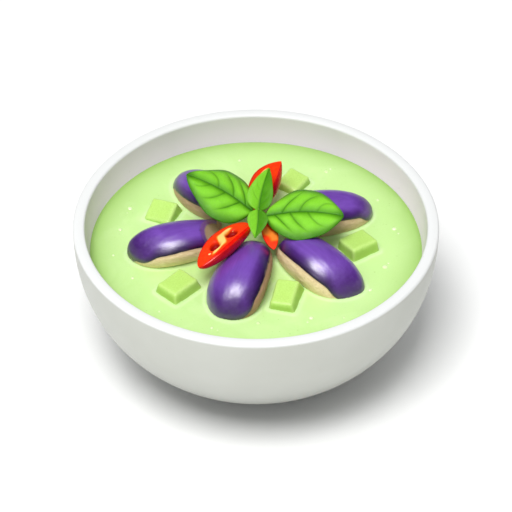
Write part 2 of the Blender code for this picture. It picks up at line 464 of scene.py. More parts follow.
def pull_up(name, rings):
    """Pulls a round shell out of one disc, ring after ring, and closes it at the last."""
    bpy.ops.object.select_all(action="DESELECT")
    radius, height = rings[0]
    bpy.ops.mesh.primitive_circle_add(
        vertices=SIDES, radius=radius, fill_type="TRIFAN", location=(0, 0, height)
    )
    piece = call_it(name)
    bpy.ops.object.mode_set(mode="EDIT")
    pick_points(piece, lambda at: math.hypot(at.x, at.y) > radius / 2)
    for wider, higher in rings[1:]:
        bpy.ops.mesh.extrude_region_move(TRANSFORM_OT_translate={"value": (0, 0, higher - height)})
        share = wider / radius
        bpy.ops.transform.resize(value=(share, share, 1), center_override=(0, 0, higher))
        radius, height = wider, higher
    bpy.ops.mesh.extrude_region_move(TRANSFORM_OT_translate={"value": (0, 0, 0)})
    bpy.ops.mesh.merge(type="CENTER")
    bpy.ops.mesh.select_all(action="SELECT")
    bpy.ops.mesh.normals_make_consistent(inside=False)
    bpy.ops.object.mode_set(mode="OBJECT")
    bpy.ops.object.shade_smooth()
    return piece


# %% [markdown]
# ### The glaze
# White glaze is never one white. It pools a little greyer where it lies thick, carries a few pale specks
# of iron, and its skin has a very slight orange peel over the faint rings that the potter's fingers leave.
# It is painted greyer towards the foot, as painted shade. Inside, green light from the curry would turn a
# pure white glaze green, so there a rosy tint is painted against that light, more so by the curry, and the
# inside is painted lighter out to the left and right, as painted light. The top of the rim is painted
# lighter still, as a painted highlight. The foot ring is wiped before firing, so it shows bare, dull, sandy
# clay.

# %% White glaze with a bare foot
glaze = Finish("white_glaze", Roughness=0.2, Coat_Roughness=0.2, Specular_IOR_Level=0.28)
glaze_place = glaze.place()
across, deep, up = glaze.parts(glaze_place)
out_from_middle = (across * across + deep * deep) ** 0.5
pooled = glaze.cloud(glaze_place, 22, 4, 0.55).held(0.35, 0.7)
speck_size = glaze.cloud(glaze_place, 90, 1).held(0.56, 0.8)
specks = (1 - glaze.cells(glaze_place, 260).held(0.05, 0.14)) * speck_size
bare = (1 - up.held(0.6 * MM, 1.1 * MM)) * out_from_middle.held(32.5 * MM, 33 * MM)
white = glaze.mix(pooled, paint(202, 204, 196), paint(196, 198, 189))
# Painted shade: the glaze is painted greyer towards the foot.
white = glaze.mix((1 - up.held(2 * MM, 52 * MM)) ** 1.4, white, paint(112, 114, 108))
# Painted light: a rosy tint inside against the curry's green light, and the inside painted lighter out to
# the left and right.
painted_side_light = ((across * across) ** 0.5).held(40 * MM, 80 * MM)
inner_white = glaze.mix(up.held(LEVEL, LEVEL + 13 * MM), paint(226, 213, 230), paint(215, 210, 213))
inner_white = glaze.mix(painted_side_light, inner_white, paint(250, 234, 252))
white = glaze.mix(glaze.mark("inner"), white, inner_white)
# Painted highlight: the top of the rim is painted lighter than the rest of the glaze.
painted_rim_highlight = up.held(BOWL_TOP - 1.6 * MM, BOWL_TOP - 0.5 * MM)
white = glaze.mix(painted_rim_highlight, white, paint(231, 232, 231))
white = glaze.mix(specks * 0.35, white, paint(170, 160, 140))
sand = glaze.cloud(glaze_place, 1500, 3).held(0.3, 0.7)
clay = glaze.mix(sand, paint(214, 204, 186), paint(186, 172, 150))
glaze.set("Base Color", glaze.mix(bare, white, clay))
glaze.set("Roughness", 0.38 + pooled * 0.08 + bare * 0.45)
glaze.set("Coat Weight", 0.15 - bare * 0.15)
finger_rings = glaze.cloud(glaze.stretched(glaze_place, (8, 8, 330)), 1, 2)
orange_peel = glaze.cloud(glaze_place, 420, 2)
glaze.relief(finger_rings * 0.6 + orange_peel * 0.25 + sand * bare * 3, 0.05 * MM)

# %% Throw the bowl
def is_inner(at):
    """1 on the inside of the wall, 0 on the outside."""
    drop = min(max(BOWL_TOP - at.z, 0), FLOOR_DROP)
    middle = (outside_at(drop) + inside_at(drop)) / 2
    return 1.0 if at.z > 6 * MM and math.hypot(at.x, at.y) < middle else 0.0


bowl = pull_up("glazed_bowl", bowl_rings())
write(bowl, "inner", [is_inner(point.co) for point in bowl.data.vertices])
bowl.data.materials.append(glaze.material)
serve(bowl, "bowl", "bowl")

# %% [markdown]
# ## The aubergines
# Small Thai aubergines are halved lengthwise and float with their skin up. The skin is a taut glossy dome,
# its colour painted nearly black along its edge as painted shade and a lighter violet on its crown as a
# painted highlight, and the cut flesh has swollen a little in the hot curry, so a pale band shows under it.
# A ball is the nearest primitive. It is pressed by one rule into a blunt, slightly bent half, the stem end
# is cut away with a plane, and the skin is raised a hair over the flesh, so that its edge is a real edge.

# %% The skin's finish
skin = Finish("aubergine_skin", Specular_IOR_Level=1.0, Coat_Roughness=0.28)
skin_place = skin.own_place()
crown = skin.mark("crown")
reach = skin.mark("along")
streaks = skin.cloud(skin.stretched(skin_place, (0.05, 1.0, 1.0)), 0.9, 4, 0.6)
blush = skin.cloud(skin_place, 0.09, 2, 0.5, 0.4)
pores = 1 - skin.cells(skin_place, 1.25).held(0.06, 0.16)
# Painted shade and highlight: the skin is painted nearly black along its edge and towards its tips, and a
# lighter violet along its ridge; the streaks and blush are its own colour.
flank = crown.held(0.0, 0.5)
tips = 1 - (reach * reach).held(0.35, 1.0)
painted_light_and_streaks = (flank * (0.35 + tips * 0.65) + (streaks - 0.5) * 0.3 + (blush - 0.5) * 0.35)
shown = skin.mix(painted_light_and_streaks.held(0.0, 0.6), paint(16, 2, 34), paint(78, 34, 124))
# Painted highlight: a lighter violet along the ridge.
shown = skin.mix(painted_light_and_streaks.held(0.6, 1.15), shown, paint(126, 78, 190))
shown = skin.mix(pores * 0.16, shown, paint(150, 110, 200))
shown = skin.mix(1 - crown.held(0.0, 0.07), shown, paint(30, 8, 46))
skin.set("Base Color", shown)
skin.set("Roughness", 0.34 + (streaks - 0.5) * 0.12 + pores * 0.1)
skin.set("Coat Weight", 0.38 + (blush - 0.5) * 0.2)
skin.relief(streaks * 0.7 + skin.cloud(skin_place, 2.2, 3) * 0.3 - pores * 0.25, 0.09 * MM)

# %% The flesh's finish, on the swollen side and on a fresh cut
def flesh_finish(name, fresh):
    """Fibrous pale flesh with seed marks: duller and browner where it has simmered."""
    flesh = Finish(name, Specular_IOR_Level=0.35)
    at = flesh.own_place()
    below, browned = flesh.mark("crown"), flesh.mark("browned")
    fibres = flesh.cloud(flesh.stretched(at, (0.3, 1.3, 1.3)), 1.0, 4, 0.55, 0.3)
    soaked = flesh.cloud(at, 0.16, 3, 0.5, 0.3)
    seed_marks = 1 - flesh.cells(flesh.stretched(at, (0.38, 0.62, 0.62)), 1.0).held(0.12, 0.3)
    seed_belt = flesh.cloud(at, 0.3, 1).held(0.42, 0.6) * (0.4 if fresh else below.held(-1.0, -0.25) * 0.35)
    over = (flesh.parts(flesh.place())[2] - LEVEL) / MM
    wet_edge = 1 - over.held(0.1, 1.5)
    light, lighter = (paint(255, 246, 176), paint(255, 252, 196)) if fresh else (
        paint(232, 206, 158), paint(248, 228, 188)
    )
    pale = flesh.mix(fibres.held(0.3, 0.72), light, lighter)
    if not fresh:
        pale = flesh.mix(soaked.held(0.42, 0.75) * 0.4, pale, paint(216, 186, 138))
    pale = flesh.mix(browned, pale, paint(162, 120, 96))
    pale = flesh.mix(seed_marks * seed_belt, pale, paint(176, 140, 92))
    if not fresh:
        pale = flesh.mix(below.held(-0.12, -0.005) * 0.5, pale, paint(150, 118, 96))
        pale = flesh.mix(wet_edge * 0.4, pale, paint(196, 206, 140))
    flesh.set("Base Color", pale)
    flesh.set("Roughness", 0.55 - wet_edge * 0.3 + (fibres - 0.5) * 0.2)
    flesh.relief(
        fibres * 0.7 + flesh.cloud(at, 3.0, 3) * 0.3 - seed_marks * seed_belt * 0.5, 0.2 * MM
    )
    return flesh


simmered_flesh = flesh_finish("aubergine_flesh", fresh=False)
cut_flesh = flesh_finish("aubergine_cut_end", fresh=True)


# %% Press a ball into an aubergine half
FLESH, SKIN, CUT_END = 0, 1, 2


def aubergine_form(piece, length, width, rise, bulge, taper, blunt, bend, dip):
    """Presses the ball: blunt ends, taper, bend, skin above and swollen flesh below."""
    crowns, alongs = [], []

    def rule(at):
        ring = max(math.hypot(at.y, at.z), 1e-6)
        side, top = at.y / ring, at.z / ring
        girth = max(1 - abs(at.x) ** blunt, 0) ** 0.5 * (1 + taper * at.x)
        crowns.append(top)
        alongs.append(at.x)
        raised = math.asin(max(-1, min(top, 1)))
        raised -= 0.95 * bump_between(at.x, 0.7, 1.0) * math.cos(raised) ** 2
        side, top = math.copysign(math.cos(raised), side), math.sin(raised)
        drop = side**2 if top > 0 else side**2 + 0.9 * (1 - side**2)
        return MM * Vector((
            at.x * length / 2,
            side * girth * width / 2 + bend * (at.x**2 - 1 / 3),
            top * girth * (rise if top > 0 else bulge) - dip * max(at.x, 0) ** 2 * drop * girth,
        ))

    press(piece, rule)
    write(piece, "crown", crowns)
    write(piece, "along", alongs)


# %% Cut its stem end away
def cut_stem_end(piece, stem, slant, swing):
    """Slices the stem end off, softens the cut's edge and gives its face rings of its own."""
    slant, swing = math.radians(slant), math.radians(swing)
    facing = Vector((
        -math.cos(slant) * math.cos(swing), math.cos(slant) * math.sin(swing), math.sin(slant)
    ))
    start = Vector((-stem * MM, 0, 0))
    bpy.ops.object.mode_set(mode="EDIT")
    bpy.ops.mesh.select_all(action="SELECT")
    bpy.ops.mesh.bisect(plane_co=start, plane_no=facing, use_fill=True, clear_outer=True)

    def on_cut(face):
        return all(abs((point.co - start).dot(facing)) < 0.01 * MM for point in face.verts)

    print(piece.name, "cut faces:", pick_faces(piece, on_cut))
    piece.active_material_index = CUT_END
    bpy.ops.object.material_slot_assign()
    bpy.ops.mesh.inset(thickness=0.3 * MM, depth=0.05 * MM)
    for _ in range(3):
        bpy.ops.mesh.inset(thickness=1.7 * MM, depth=0.1 * MM)
    bpy.ops.mesh.poke()
    bpy.ops.object.mode_set(mode="OBJECT")


# %% Raise the skin over the flesh
def raise_skin(piece):
    """Gives the upper faces the skin's finish and lifts them a little, so the skin has an edge."""
    bpy.ops.object.mode_set(mode="EDIT")
    layers = bmesh.from_edit_mesh(piece.data).verts.layers.float
    crowns, reaches = layers["crown"], layers["along"]

    def is_skin(face):
        wrapped = min(point[reaches] for point in face.verts) > 0.94
        above = min(point[crowns] for point in face.verts) > -0.001
        return face.material_index == FLESH and (above or wrapped)

    pick_faces(piece, is_skin)
    piece.active_material_index = SKIN
    bpy.ops.object.material_slot_assign()
    bpy.ops.mesh.inset(use_boundary=True, thickness=0.4 * MM, depth=0.22 * MM)
    bpy.ops.mesh.select_mode(type="EDGE")
    bpy.ops.mesh.select_all(action="DESELECT")
    bpy.ops.mesh.edges_select_sharp(sharpness=math.radians(38))
    bpy.ops.transform.edge_crease(value=0.8)
    bpy.ops.object.mode_set(mode="OBJECT")


def wrinkle(piece):
    """Fine uneven relief: long faint folds in the skin, a coarser grain in the flesh."""
    lifts = []
    for point, crowned in zip(piece.data.vertices, read(piece, "crown")):
        at = point.co / MM
        if crowned > 0.04:
            lifts.append(0.1 * noise.noise(Vector((at.x * 0.07, at.y * 0.42, at.z * 0.42))))
        else:
            lifts.append(0.16 * noise.fractal(at * Vector((0.3, 0.75, 0.75)), 0.8, 2.1, 3))
    push_out(piece, lifts)


# %% Make one aubergine half
def aubergine_half(node, form, spot, browned):
    """One halved aubergine, pressed, cut, skinned and laid in the bowl."""
    bpy.ops.object.select_all(action="DESELECT")
    bpy.ops.mesh.primitive_uv_sphere_add(
        segments=88, ring_count=56, radius=1, rotation=(0, math.pi / 2, 0)
    )
    piece = call_it(node + "_half")
    for finish in (simmered_flesh, skin, cut_flesh):
        piece.data.materials.append(finish.material)
    aubergine_form(piece, *form[:8])
    cut_stem_end(piece, *form[8:])
    raise_skin(piece)
    smooth_out(piece, 1)
    wrinkle(piece)
    write(piece, "browned", [browned] * len(piece.data.vertices))
    write_own_place(piece)
    bpy.ops.object.shade_smooth()
    lay(piece, *spot)
    serve(piece, "aubergine", node)
    return piece


# %% [markdown]
# Each aubergine has its own form: length, width, rise of the skin, bulge of the flesh, taper, bluntness,
# bend, how far the skin's edge dips round the outer end, and where and how the stem end is cut. Then comes
# where it lies: its middle, its height over the curry, and its heading, pitch and roll in degrees. The last
# number is how far its flesh has browned, because no two halves cook alike.

# %% The five aubergine halves
AUBERGINES = {
    "aubergine_left": (
        (60, 28, 10.5, 8.5, 0.2, 2.1, -5.5, 7, 17.5, 28, 45), (-30.5, 1, 2, 204, 10, 29), 0.0
    ),
    "aubergine_front": (
        (54, 30, 13.5, 8.5, 0.18, 2.45, -2.5, 6, 21, 20, 0), (-6, -25, 1, 255, 3, 43), 0.9
    ),
    "aubergine_front_right": (
        (55, 28, 12.3, 9.5, 0.13, 2.35, 8, 6, 15, 20, 0), (27, -14.5, 1.5, 309, 3, -37), 0.0
    ),
    "aubergine_right": (
        (57, 27, 13, 10.5, 0, 2.0, 0.5, 3, 14, 20, 0), (27, 18, 2, 12, 1.5, -29), 0.35
    ),
    "aubergine_back_left": (
        (51, 26, 12.5, 9.5, 0.03, 1.8, -2.5, 0, 10, 20, 0), (-20.6, 31.9, 1.5, 134, -7, 24), 0.6
    ),
}
floating = [aubergine_half(node, *facts) for node, facts in AUBERGINES.items()]

# %% [markdown]
# ## The diced vegetable
# Cubes are cut with a knife, so their faces are flat but never quite even, and their edges are soft from
# simmering. A cube is given its size, its sides are flared a little, its edges are bevelled, and then it is
# subdivided finely enough for slight unevenness in the faces themselves.

# %% The diced vegetable's finish
dice = Finish("diced_vegetable", Specular_IOR_Level=0.45)
dice_place = dice.own_place()
knife_edge = dice.mark("edge")
threads = dice.cloud(dice.stretched(dice_place, (1.3, 1.3, 0.35)), 1.0, 5, 0.6, 0.4)
patches = dice.cloud(dice_place, 0.22, 3)
dots = 1 - dice.cells(dice_place, 0.75).held(0.1, 0.24)
painted_side_shade = dice.mark("depth")
dice_over = (dice.parts(dice.place())[2] - LEVEL) / MM
green = dice.mix(threads.held(0.3, 0.7), paint(178, 220, 100), paint(196, 236, 124))
green = dice.mix(patches.held(0.4, 0.75) * 0.5, green, paint(186, 228, 106))
# Painted shade: the sides below the top are painted darker green.
green = dice.mix(painted_side_shade * 0.75, green, paint(150, 190, 74))
green = dice.mix(dots * 0.3, green, paint(150, 192, 82))
green = dice.mix(knife_edge * 0.4, green, paint(214, 242, 156))
green = dice.mix((1 - dice_over.held(0.0, 1.6)) * 0.35, green, paint(206, 240, 150))
dice.set("Base Color", green)
dice.set("Roughness", 0.42 + (threads - 0.5) * 0.25 - knife_edge * 0.1)
dice.relief(threads * 0.6 + patches * 0.2 - dots * 0.3, 0.16 * MM)


# %% Make one cube
def diced_cube(node, form, spot):
    """A knife-cut cube whose top's middle is its own origin."""
    long, broad, height, flare = form
    bpy.ops.object.select_all(action="DESELECT")
    bpy.ops.mesh.primitive_cube_add(size=1)
    piece = call_it(node + "_dice")

    def flared(at):
        spread = flare * height * (0.5 - at.z)
        return MM * Vector((at.x * (long + 2 * spread), at.y * (broad + 2 * spread), (at.z - 0.5) * height))

    press(piece, flared)
    bpy.ops.object.mode_set(mode="EDIT")
    bpy.ops.mesh.select_all(action="SELECT")
    bpy.ops.mesh.bevel(offset=1.15 * MM, segments=4, profile=0.5, affect="EDGES")
    bpy.ops.object.mode_set(mode="OBJECT")
    smooth_out(piece, 3, "SIMPLE")
    edges, depths, lifts = [], [], []
    for point in piece.data.vertices:
        at = point.co / MM
        spread = flare * -at.z
        in_x, in_y = long / 2 + spread - abs(at.x), broad / 2 + spread - abs(at.y)
        nearest = sorted((in_x, in_y, min(-at.z, height + at.z)))
        edges.append(max(0.0, 1 - nearest[1] / 1.5))
        # How far below the top a point lies, which sets the painted shade on the sides.
        depths.append(min(1.0, max(0.0, (-at.z - 0.7) / 2.0)))
        lifts.append(0.22 * noise.noise(at * 0.21 + Vector(spot[:3])) + 0.07 * noise.noise(at * 0.9))
    push_out(piece, lifts)
    write(piece, "edge", edges)
    write(piece, "depth", depths)
    write_own_place(piece)
    piece.data.materials.append(dice.material)
    take(piece)
    bpy.ops.object.shade_smooth()
    lay(piece, *spot)
    serve(piece, "diced_vegetable", node)
    return piece


# %% The five cubes
CUBES = {
    "cube_left": ((13, 11.5, 10, 0.1), (-45, 21.2, 4.5, -25, 4, 24)),
    "cube_front_left": ((14.5, 11.5, 12, 0.25), (-36, -30.5, 5.5, 46, 2, -2)),
    "cube_front_right": ((10, 14.5, 12, 0.25), (13, -38, 6, -14, 3, 10)),
    "cube_right": ((14, 12, 12, 0.1), (47.5, -1.5, 6, 35, -1, -6)),
    "cube_back": ((10.5, 11.5, 12, 0.2), (18, 44, 5, -34, -8, 6)),
}
floating += [diced_cube(node, form, spot) for node, (form, spot) in CUBES.items()]

# %% [markdown]
# ## The chillies
# A red chilli halved lengthwise shows a wet orange-red wall, hollows where the seeds sat, and a cream
# membrane that runs between them from one side to the other. The ball's lower half becomes the pod, and its
# upper half is pressed flat into the cut face, which keeps enough points to sink the hollows and raise the
# membrane as real shape. Where the knife ran out at one side, a strip of skin stays on the face and rounds
# off. The seeds are pieces of their own.

# %% The chilli's finish
chilli = Finish("red_chilli", Specular_IOR_Level=0.16, Coat_Roughness=0.2)
chilli_place = chilli.own_place()
cut, pith, hollow = chilli.mark("cut"), chilli.mark("pith"), chilli.mark("hollow")
rim_line = chilli.mark("rim")
grain = chilli.cloud(chilli.stretched(chilli_place, (0.5, 1.6, 1.6)), 1.1, 4, 0.6)
mottle = chilli.cloud(chilli_place, 0.4, 3)
pod = chilli.mix(mottle.held(0.35, 0.7), paint(216, 10, 0), paint(236, 22, 0))
wall = chilli.mix(grain.held(0.3, 0.7), paint(244, 40, 0), paint(254, 66, 4))
wall = chilli.mix(rim_line, wall, paint(214, 6, 0))
wall = chilli.mix(hollow.held(0.0, 0.8), wall, paint(150, 2, 2))
wall = chilli.mix(pith.held(0.08, 0.42), wall, paint(250, 122, 20))
wall = chilli.mix(pith.held(0.4, 0.8), wall, paint(253, 206, 116))
chilli.set("Base Color", chilli.mix(cut, pod, wall))
chilli.set("Roughness", 0.24 + (grain - 0.5) * 0.2 + cut * 0.24)
chilli.set("Coat Weight", 0.22 - cut * 0.18)
chilli.relief(grain * 0.6 * cut + mottle * 0.4, 0.16 * MM)


# %% The outline and the cut face of a chilli
STEM_END_BLUNTER = 0.62


def pod_girth(along, slender):
    """How wide the pod is: blunt at its stem end, drawn out to a point at the other."""
    return max(1 - abs(along) ** 1.7, 0) ** (slender if along > 0 else slender * STEM_END_BLUNTER)


def chilli_face(along, across, hollows, merged):
    """How much of the face is hollow at a place, and how much is membrane."""
    sunk = 0.0
    for at, side, reach, spread in hollows:
        out = math.hypot((along - at) / reach, (across - side) / spread)
        sunk = max(sunk, 1 - bump_between(out, 0.62, 1.08))
    ridge = 0.46 * math.tanh(along * 5)
    wide = 0.13 + merged + 0.32 * math.exp(-((along / 0.13) ** 2))
    membrane = (1 - bump_between(abs(across - ridge), wide * 0.45, wide * 1.45)) * (
        1 - bump_between(abs(along), 0.42, 0.62)
    )
    membrane *= (1 - 0.75 * sunk) * (1 - merged)
    return sunk, membrane


# %% Make one chilli half
HOLLOW_DEPTH, MEMBRANE_RISE = 2.6, 0.35


def chilli_half(node, form, spot, hollows, merged, skin_from):
    """Half a pod with its cut face up and its pointed end along its heading."""
    length, width, depth, sag, slender = form
    bpy.ops.object.select_all(action="DESELECT")
    bpy.ops.mesh.primitive_uv_sphere_add(
        segments=96, ring_count=80, radius=1, rotation=(0, math.pi / 2, 0)
    )
    piece = call_it(node + "_half")
    marks = {"cut": [], "pith": [], "hollow": [], "rim": []}

    def rule(at):
        ring = max(math.hypot(at.y, at.z), 1e-6)
        side, top = at.y / ring, at.z / ring
        on_face = top > 0.02
        girth = pod_girth(at.x, slender)
        sunk, membrane = chilli_face(at.x, side, hollows, merged) if on_face else (0, 0)
        inward = bump_between(1 - abs(side), 0.0, 0.2) if on_face else 0
        lift = (MEMBRANE_RISE * membrane - HOLLOW_DEPTH * sunk) * min(width / 13, 1.1) + 0.25 * inward
        uncut = bump_between(side, skin_from, skin_from + 0.06)
        lift -= 3.2 * max(side - skin_from, 0) ** 1.5
        marks["cut"].append(1 - uncut if on_face else 0.0)
        marks["pith"].append(membrane)
        marks["hollow"].append(sunk)
        marks["rim"].append(1 - inward if on_face else 0.0)
        return MM * Vector((
            at.x * length / 2,
            side * girth * width / 2,
            (lift * girth if on_face else min(top, 0) * girth * depth) - sag * (at.x**2 - 1 / 3),
        ))

    press(piece, rule)
    for name, values in marks.items():
        write(piece, name, values)
    write_own_place(piece)
    piece.data.materials.append(chilli.material)
    smooth_out(piece, 1)
    bpy.ops.object.shade_smooth()
    lay(piece, *spot)
    serve(piece, "chilli", node)
    return piece


# %% The three chilli halves
# Form: length, width, depth of the pod, sag of its ends, slenderness. Hollow: place along and across the
# face, then its reach each way, as shares of the half length and half width. Last, how far the membrane
# has spread into the wall, and how far across the face the knife ran out and left the skin on.
CHILLIES = {
    "chilli_front": (
        (35, 13.5, 8.5, 3, 0.6), (-15.4, -17.8, 18.6, 230, -6, 13),
        [(-0.34, 0.08, 0.2, 0.46), (0.27, -0.04, 0.18, 0.42)], 0.0, 0.7,
    ),
    "chilli_back": (
        (30, 16, 9, 2.5, 0.9), (3, 30, 12.5, 23, 56, 6),
        [(-0.3, 0.15, 0.22, 0.45), (0.22, 0.0, 0.16, 0.4)], 0.05, 1.0,
    ),
    "chilli_middle": (
        (17, 7.5, 4, 1, 0.65), (6.5, -5.6, 12.6, 283, -12, 0), [], 0.55, 1.0,
    ),
}
chillies = {node: chilli_half(node, *facts) for node, facts in CHILLIES.items()}
floating.append(chillies["chilli_back"])

# %% [markdown]
# ### Seeds
# A chilli seed is a flat cream disc, a little pointed where it was joined. One is modelled, a squashed ball
# with a dent in its middle, and each copy is set in or beside a hollow with its own mesh, size and turn.

# %% The seed's finish
seed_coat = Finish("chilli_seed", Roughness=0.4, Specular_IOR_Level=0.5)
seed_place = seed_coat.place()
seed_tint = seed_coat.cloud(seed_place, 700, 3).held(0.3, 0.7)
seed_coat.set("Base Color", seed_coat.mix(seed_tint, paint(238, 196, 112), paint(255, 228, 162)))
seed_coat.relief(seed_coat.cloud(seed_place, 2600, 2), 0.05 * MM)


# %% Model one seed
def flat(point):
    """Presses a ball into a flat seed with a dent in both its faces."""
    pointed = 1 - 0.35 * max(point.x, 0) ** 2
    dent = 0.12 * math.exp(-((point.x**2 + point.y**2) / 0.16))
    thick = 0.32 * point.z - math.copysign(dent, point.z) * 0.5
    return MM * Vector((point.x * 1.15, point.y * 0.9 * pointed, thick))


bpy.ops.object.select_all(action="DESELECT")
bpy.ops.mesh.primitive_uv_sphere_add(segments=20, ring_count=12, radius=1)
one_seed = call_it("seed")
press(one_seed, flat)
print("a seed is", round(one_seed.dimensions.x / MM, 1), "mm long")


# %% Lay its copies as their chilli lies
def seeds_for(node, places):
    """All the seeds of one chilli half, joined, and laid as the half is."""
    (length, width, depth, sag, slender), spot, *_ = CHILLIES[node]
    made = []
    for along, across, down, turn, size in places:
        girth = pod_girth(along, slender)
        at = (along * length / 2, across * girth * width / 2, -down * girth - sag * (along**2 - 1 / 3))
        made.append(copy_of(one_seed, MM * Vector(at), size, (0.18, -0.12, turn)))
    joined = join(made, node + "_seeds")
    joined.data.materials.append(seed_coat.material)
    bpy.ops.object.shade_smooth()
    lay(joined, *spot)
    serve(joined, "chilli")


# %% Seeds of the front and back chilli
seeds_for("chilli_front", [
    (0.55, 0.12, 0.0, 0.4, 0.85), (-0.52, 0.3, 1.2, 1.9, 0.6), (-0.5, -0.22, 0.9, 0.3, 0.6),
    (0.42, 0.2, 1.3, 2.8, 0.6),
])
seeds_for("chilli_back", [
    (0.3, 0.1, 1.8, 0.9, 0.9), (0.18, -0.15, 2.0, 2.2, 0.85), (-0.3, 0.2, 2.0, 0.3, 0.9),
])
clear_away(one_seed)

# %% [markdown]
# ## The basil sprig
# A basil leaf is a thin sheet that isn't flat anywhere: the midrib and the side veins lie in grooves, the
# leaf puffs up between them, and its edge turns down. So a leaf starts as a fine grid, pressed to the
# outline and then puffed between veins whose paths are worked out for every point. The same vein pattern
# is written on the points, so the finish is darker exactly where the groove is. The puff and the nearness
# to the edge are written too: the finish gives painted light on the puffed lobes and painted shade along
# the edge. The two young leaves are still folded along their midrib, and one half of each is painted lit
# and the other painted in shade. Solidify gives thickness, and the underside gets a paler, duller finish of
# its own.

# %% The leaf's two finishes
def leaf_finish(name, lobes, mid, vein, edge, dull):
    """Green painted bright on the puffed lobes as painted light, dark in the veins, and dark along the edge
    as painted shade.
    """
    leaf = Finish(name, Specular_IOR_Level=0.3)
    at = leaf.own_place()
    puffed, lined, outer = leaf.mark("puff"), leaf.mark("vein"), leaf.mark("outer")
    tissue = leaf.cells(at, 1.9, "DISTANCE_TO_EDGE").held(0.0, 0.22)
    tint = leaf.cloud(at, 0.13, 3)
    # Painted light: the puffed lobes are painted brighter.
    bright = (puffed * 0.9 + (tint - 0.5) * 0.7).held(0.0, 0.85)
    shown = leaf.mix(bright, mid, lobes)
    shown = leaf.mix((1 - tissue) * 0.22, shown, mid)
    # Painted shade: darker along the edge, and on the shaded half of a folded leaf.
    shown = leaf.mix(outer * 0.6, shown, edge)
    shown = leaf.mix(lined * 0.85, shown, vein)
    leaf.set("Base Color", shown)
    leaf.set("Roughness", dull + (tint - 0.5) * 0.2 + lined * 0.1)
    leaf.relief(tissue * 0.5 + leaf.cloud(at, 2.6, 3) * 0.35 - lined * 0.6, 0.12 * MM)
    return leaf


leaf_top = leaf_finish(
    "basil_leaf_top", lobes=paint(138, 220, 48), mid=paint(84, 160, 12),
    vein=paint(42, 104, 2), edge=paint(34, 98, 0), dull=0.38,
)
leaf_under = leaf_finish(
    "basil_leaf_under", lobes=paint(132, 178, 84), mid=paint(112, 160, 66),
    vein=paint(150, 192, 102), edge=paint(98, 146, 52), dull=0.6,
)


# %% Where the veins run
GROWN = 35


def veins_at(along, across, length, half):
    """How near a place is to a vein, and how much the leaf puffs up there."""
    outward = abs(across)
    midrib = outward * half
    lined = math.exp(-((midrib / (0.75 - 0.5 * along)) ** 2))
    puffed = 1 - math.exp(-((midrib / 2.6) ** 2))
    starts = (0.2, 0.43, 0.66) if across > 0 else (0.11, 0.31, 0.54)
    for start in starts:
        path = start + 0.13 * outward + 0.24 * outward**2
        apart = abs(along - path) * length * 0.8
        fading = 1 - bump_between(outward, 0.5, 0.9)
        strength = fading * (1.1 - 1.05 * start) * min(length / GROWN, 1) ** 2
        lined = max(lined, strength * math.exp(-((apart / 0.42) ** 2)))
        puffed *= 1 - 0.55 * strength * math.exp(-((apart / 1.7) ** 2))
    return lined, puffed * (1 - outward**5)


# %% Make one leaf
def basil_leaf(node, form, spot):
    """A leaf along its own X from its base."""
    length, width, fold, droop, start, full, sway = form
    bpy.ops.object.select_all(action="DESELECT")
    bpy.ops.mesh.primitive_grid_add(x_subdivisions=120, y_subdivisions=72, size=2)
    piece = call_it(node + "_blade")
    marks = {"vein": [], "puff": [], "outer": []}
    small = min(length / GROWN, 1)

    def rule(at):
        along, across = (at.x + 1) / 2, at.y
        outline = max(math.sin(math.pi * min(along, 1) ** start), 0) ** full
        half = width / 2 * max(outline, 0.03)
        lined, puffed = veins_at(along, across, length, max(half, 0.4))
        marks["vein"].append(lined * (0.45 + 0.55 * small))
        # Nearness to the edge and the tip, for the painted shade along the edge.
        outer = max(bump_between(abs(across), 0.55, 1.0), bump_between(along, 0.82, 1.0)) ** 1.5
        # A folded leaf: one half is painted lit and the other painted in shade, as light from one side
        # would fall.
        if fold > 0:
            painted_lit_half = bump_between(across * math.sin(math.radians(spot[3])), -0.06, 0.06)
            outer = outer * 0.4 * painted_lit_half + 0.62 * (1 - painted_lit_half)
            marks["puff"].append(painted_lit_half * (1.1 + 0.4 * puffed) + (1 - painted_lit_half) * 0.25 * puffed)
        else:
            marks["puff"].append(puffed)
        marks["outer"].append(outer)
        if fold < 0:
            arch = across**2 * half * fold
        else:
            arch = (math.sqrt(across**2 + 0.012) - 0.11) * half * fold
        height = arch - droop * along**2 + (1.3 * puffed - 0.3 * lined) * small
        height += 0.3 * small * abs(across) ** 3 * math.sin(along * 17 + 2 * across)
        return MM * Vector((
            length * along, across * half + sway * math.sin(math.pi * along), height - 0.55 * small
        ))

    press(piece, rule)
    for name, values in marks.items():
        write(piece, name, values)
    write_own_place(piece)
    piece.data.materials.append(leaf_top.material)
    piece.data.materials.append(leaf_under.material)
    take(piece)
    bpy.ops.object.modifier_add(type="SOLIDIFY")
    sheet = piece.modifiers[-1]
    sheet.thickness = 0.55 * MM
    sheet.offset = -0.2
    sheet.material_offset = 1
    sheet.material_offset_rim = 0
    bpy.ops.object.modifier_apply(modifier=sheet.name)
    bpy.ops.object.shade_smooth()
    lay(piece, *spot)
    serve(piece, "basil", node)
    return piece


# %% The four leaves
# Form: length, width, fold along the midrib, droop, start and fullness of the outline, sway of the midrib.
LEAVES = {
    "basil_leaf_left": ((35, 31, -0.2, 1, 0.76, 0.79, -2), (-1.5, 7, 16.5, 161, 24, -4)),
    "basil_leaf_right": ((36, 30.5, -0.15, 3, 0.9, 0.7, 2), (4.5, 1, 18.6, -6, 9, 10)),
    "basil_leaf_back": ((21.5, 12, 0.45, 1, 0.55, 0.78, 0.6), (1, 6, 17.5, 74, 32, 5)),
    "basil_leaf_front": ((14.5, 9.5, 0.45, 1.2, 0.79, 0.92, 0.4), (1, 0.6, 22.4, 264, -19, -1)),
}
leaves = [basil_leaf(node, form, spot) for node, (form, spot) in LEAVES.items()]

